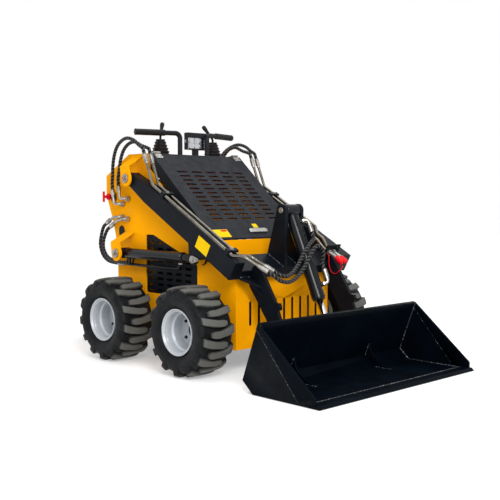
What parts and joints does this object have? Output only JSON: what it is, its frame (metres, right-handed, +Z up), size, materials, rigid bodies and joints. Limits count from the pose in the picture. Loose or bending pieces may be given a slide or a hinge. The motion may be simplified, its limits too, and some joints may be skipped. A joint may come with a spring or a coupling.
{
  "type": "wheeled stand-on mini loader",
  "caption": "Compact wheeled skid-steer loader driven from a rear platform, with a lift boom, hydraulic cylinders, a hinged slotted hood and a tilting front bucket.",
  "frame": {"origin": "on the ground at the middle of the length and width", "axes": "+X towards the bucket, +Y to the left of the machine, +Z up"},
  "size_m": [2.268, 1.259, 1.33],
  "materials": {
    "yellow_paint": "gloss",
    "black_paint": "satin",
    "grey_paint": "satin",
    "bright_steel": "polished",
    "zinc": "satin",
    "rim_paint": "satin",
    "hose_rubber": "matt",
    "tyre_rubber": "matt",
    "red_plastic": "gloss",
    "black_plastic": "matt",
    "cast_block": "matt",
    "lens": "clear"
  },
  "bodies": {
    "chassis": {"side_plate_right": "yellow_paint", "side_plate_left": "yellow_paint", "belly_pan": "black_paint", "rear_panel": "yellow_paint", "front_grille": "yellow_paint", "nose_deck": "grey_paint", "front_band": "yellow_paint", "console": "yellow_paint", "side_mesh": "black_paint", "engine_block": "cast_block", "wheel_motors": "black_paint", "platform": "black_paint", "grab_bars": "black_paint", "joystick_boots": "hose_rubber", "joysticks": "black_plastic", "work_lamp": "black_plastic", "lamp_lens": "lens", "isolator_switch": "red_plastic", "plate_plugs": "hose_rubber", "bulkhead_fittings": "zinc", "hood_hinges": "zinc", "pivot_pins": "zinc", "boom_hoses": "hose_rubber", "lift_hoses": "hose_rubber"},
    "hood": {"hood": "grey_paint", "hood_handle": "bright_steel"},
    "boom": {"arm_right": "black_paint", "arm_left": "black_paint", "cross_beam": "black_paint", "leg_right": "black_paint", "leg_left": "black_paint", "tilt_tower": "black_paint", "arm_tubes": "zinc", "tube_clamps": "black_paint", "couplers": "zinc", "coupler_caps": "red_plastic", "rod_pin_plates": "zinc", "tilt_hoses": "hose_rubber"},
    "bucket": {"bucket_shell": "black_paint", "bucket_gussets": "black_paint", "bucket_edge": "black_paint", "attach_plate": "black_paint"},
    "tilt_barrel": {"tilt_barrel": "black_paint"},
    "tilt_rod": {"tilt_rod": "bright_steel"},
    "lift_barrel_right": {"lift_barrel_right": "black_paint"},
    "lift_rod_right": {"lift_rod_right": "bright_steel"},
    "wheel_front_right": {"tyre_front_right": "tyre_rubber", "rim_front_right": "rim_paint"},
    "wheel_rear_right": {"tyre_rear_right": "tyre_rubber", "rim_rear_right": "rim_paint"},
    "lift_barrel_left": {"lift_barrel_left": "black_paint"},
    "lift_rod_left": {"lift_rod_left": "bright_steel"},
    "wheel_front_left": {"tyre_front_left": "tyre_rubber", "rim_front_left": "rim_paint"},
    "wheel_rear_left": {"tyre_rear_left": "tyre_rubber", "rim_rear_left": "rim_paint"}
  },
  "joints": [
    {"name": "wheel_front_right_spin", "type": "hinge", "parent": "chassis", "child": "wheel_front_right", "pos_m": [0.206, -0.522, 0.228], "axis": [0, 1, 0], "continuous": true},
    {"name": "wheel_rear_right_spin", "type": "hinge", "parent": "chassis", "child": "wheel_rear_right", "pos_m": [-0.437, -0.522, 0.228], "axis": [0, 1, 0], "continuous": true},
    {"name": "wheel_front_left_spin", "type": "hinge", "parent": "chassis", "child": "wheel_front_left", "pos_m": [0.206, 0.522, 0.228], "axis": [0, 1, 0], "continuous": true},
    {"name": "wheel_rear_left_spin", "type": "hinge", "parent": "chassis", "child": "wheel_rear_left", "pos_m": [-0.437, 0.522, 0.228], "axis": [0, 1, 0], "continuous": true},
    {"name": "boom_lift", "type": "hinge", "parent": "chassis", "child": "boom", "pos_m": [-0.424, 0, 1], "axis": [0, -1, 0], "range_deg": [0, 66], "deforming": ["boom_hoses"]},
    {"name": "lift_swing_right", "type": "hinge", "parent": "chassis", "child": "lift_barrel_right", "pos_m": [-0.521, -0.405, 0.581], "axis": [0, -1, 0], "range_deg": [0, 47.5], "deforming": ["lift_hoses"]},
    {"name": "lift_slide_right", "type": "slide", "parent": "lift_barrel_right", "child": "lift_rod_right", "axis": [1, 0, -0.0062], "range_m": [0, 0.384]},
    {"name": "lift_swing_left", "type": "hinge", "parent": "chassis", "child": "lift_barrel_left", "pos_m": [-0.521, 0.405, 0.581], "axis": [0, -1, 0], "range_deg": [0, 47.5], "deforming": ["lift_hoses"]},
    {"name": "lift_slide_left", "type": "slide", "parent": "lift_barrel_left", "child": "lift_rod_left", "axis": [1, 0, -0.0062], "range_m": [0, 0.384]},
    {"name": "bucket_tilt", "type": "hinge", "parent": "boom", "child": "bucket", "pos_m": [0.606, 0, 0.15], "axis": [0, 1, 0], "range_deg": [-20, 100]},
    {"name": "tilt_swing", "type": "hinge", "parent": "boom", "child": "tilt_barrel", "pos_m": [0.394, 0, 0.827], "axis": [0, -1, 0], "range_deg": [-0.5, 2.1], "deforming": ["tilt_hoses"]},
    {"name": "tilt_slide", "type": "slide", "parent": "tilt_barrel", "child": "tilt_rod", "axis": [0.4134, 0, -0.9105], "range_m": [-0.035, 0.17]},
    {"name": "hood_open", "type": "hinge", "parent": "chassis", "child": "hood", "pos_m": [-0.353, 0, 1.147], "axis": [0, -1, 0], "range_deg": [0, 60]}
  ],
  "couplings": [
    {"joint": "lift_swing_right", "follows": "boom_lift", "ratio": 0.71237},
    {"joint": "lift_slide_right", "follows": "boom_lift", "m_per_rad": 0.33279},
    {"joint": "lift_swing_left", "follows": "boom_lift", "ratio": 0.71237},
    {"joint": "lift_slide_left", "follows": "boom_lift", "m_per_rad": 0.33279},
    {"joint": "tilt_swing", "follows": "bucket_tilt", "ratio": 0.02},
    {"joint": "tilt_slide", "follows": "bucket_tilt", "m_per_rad": 0.09673}
  ]
}
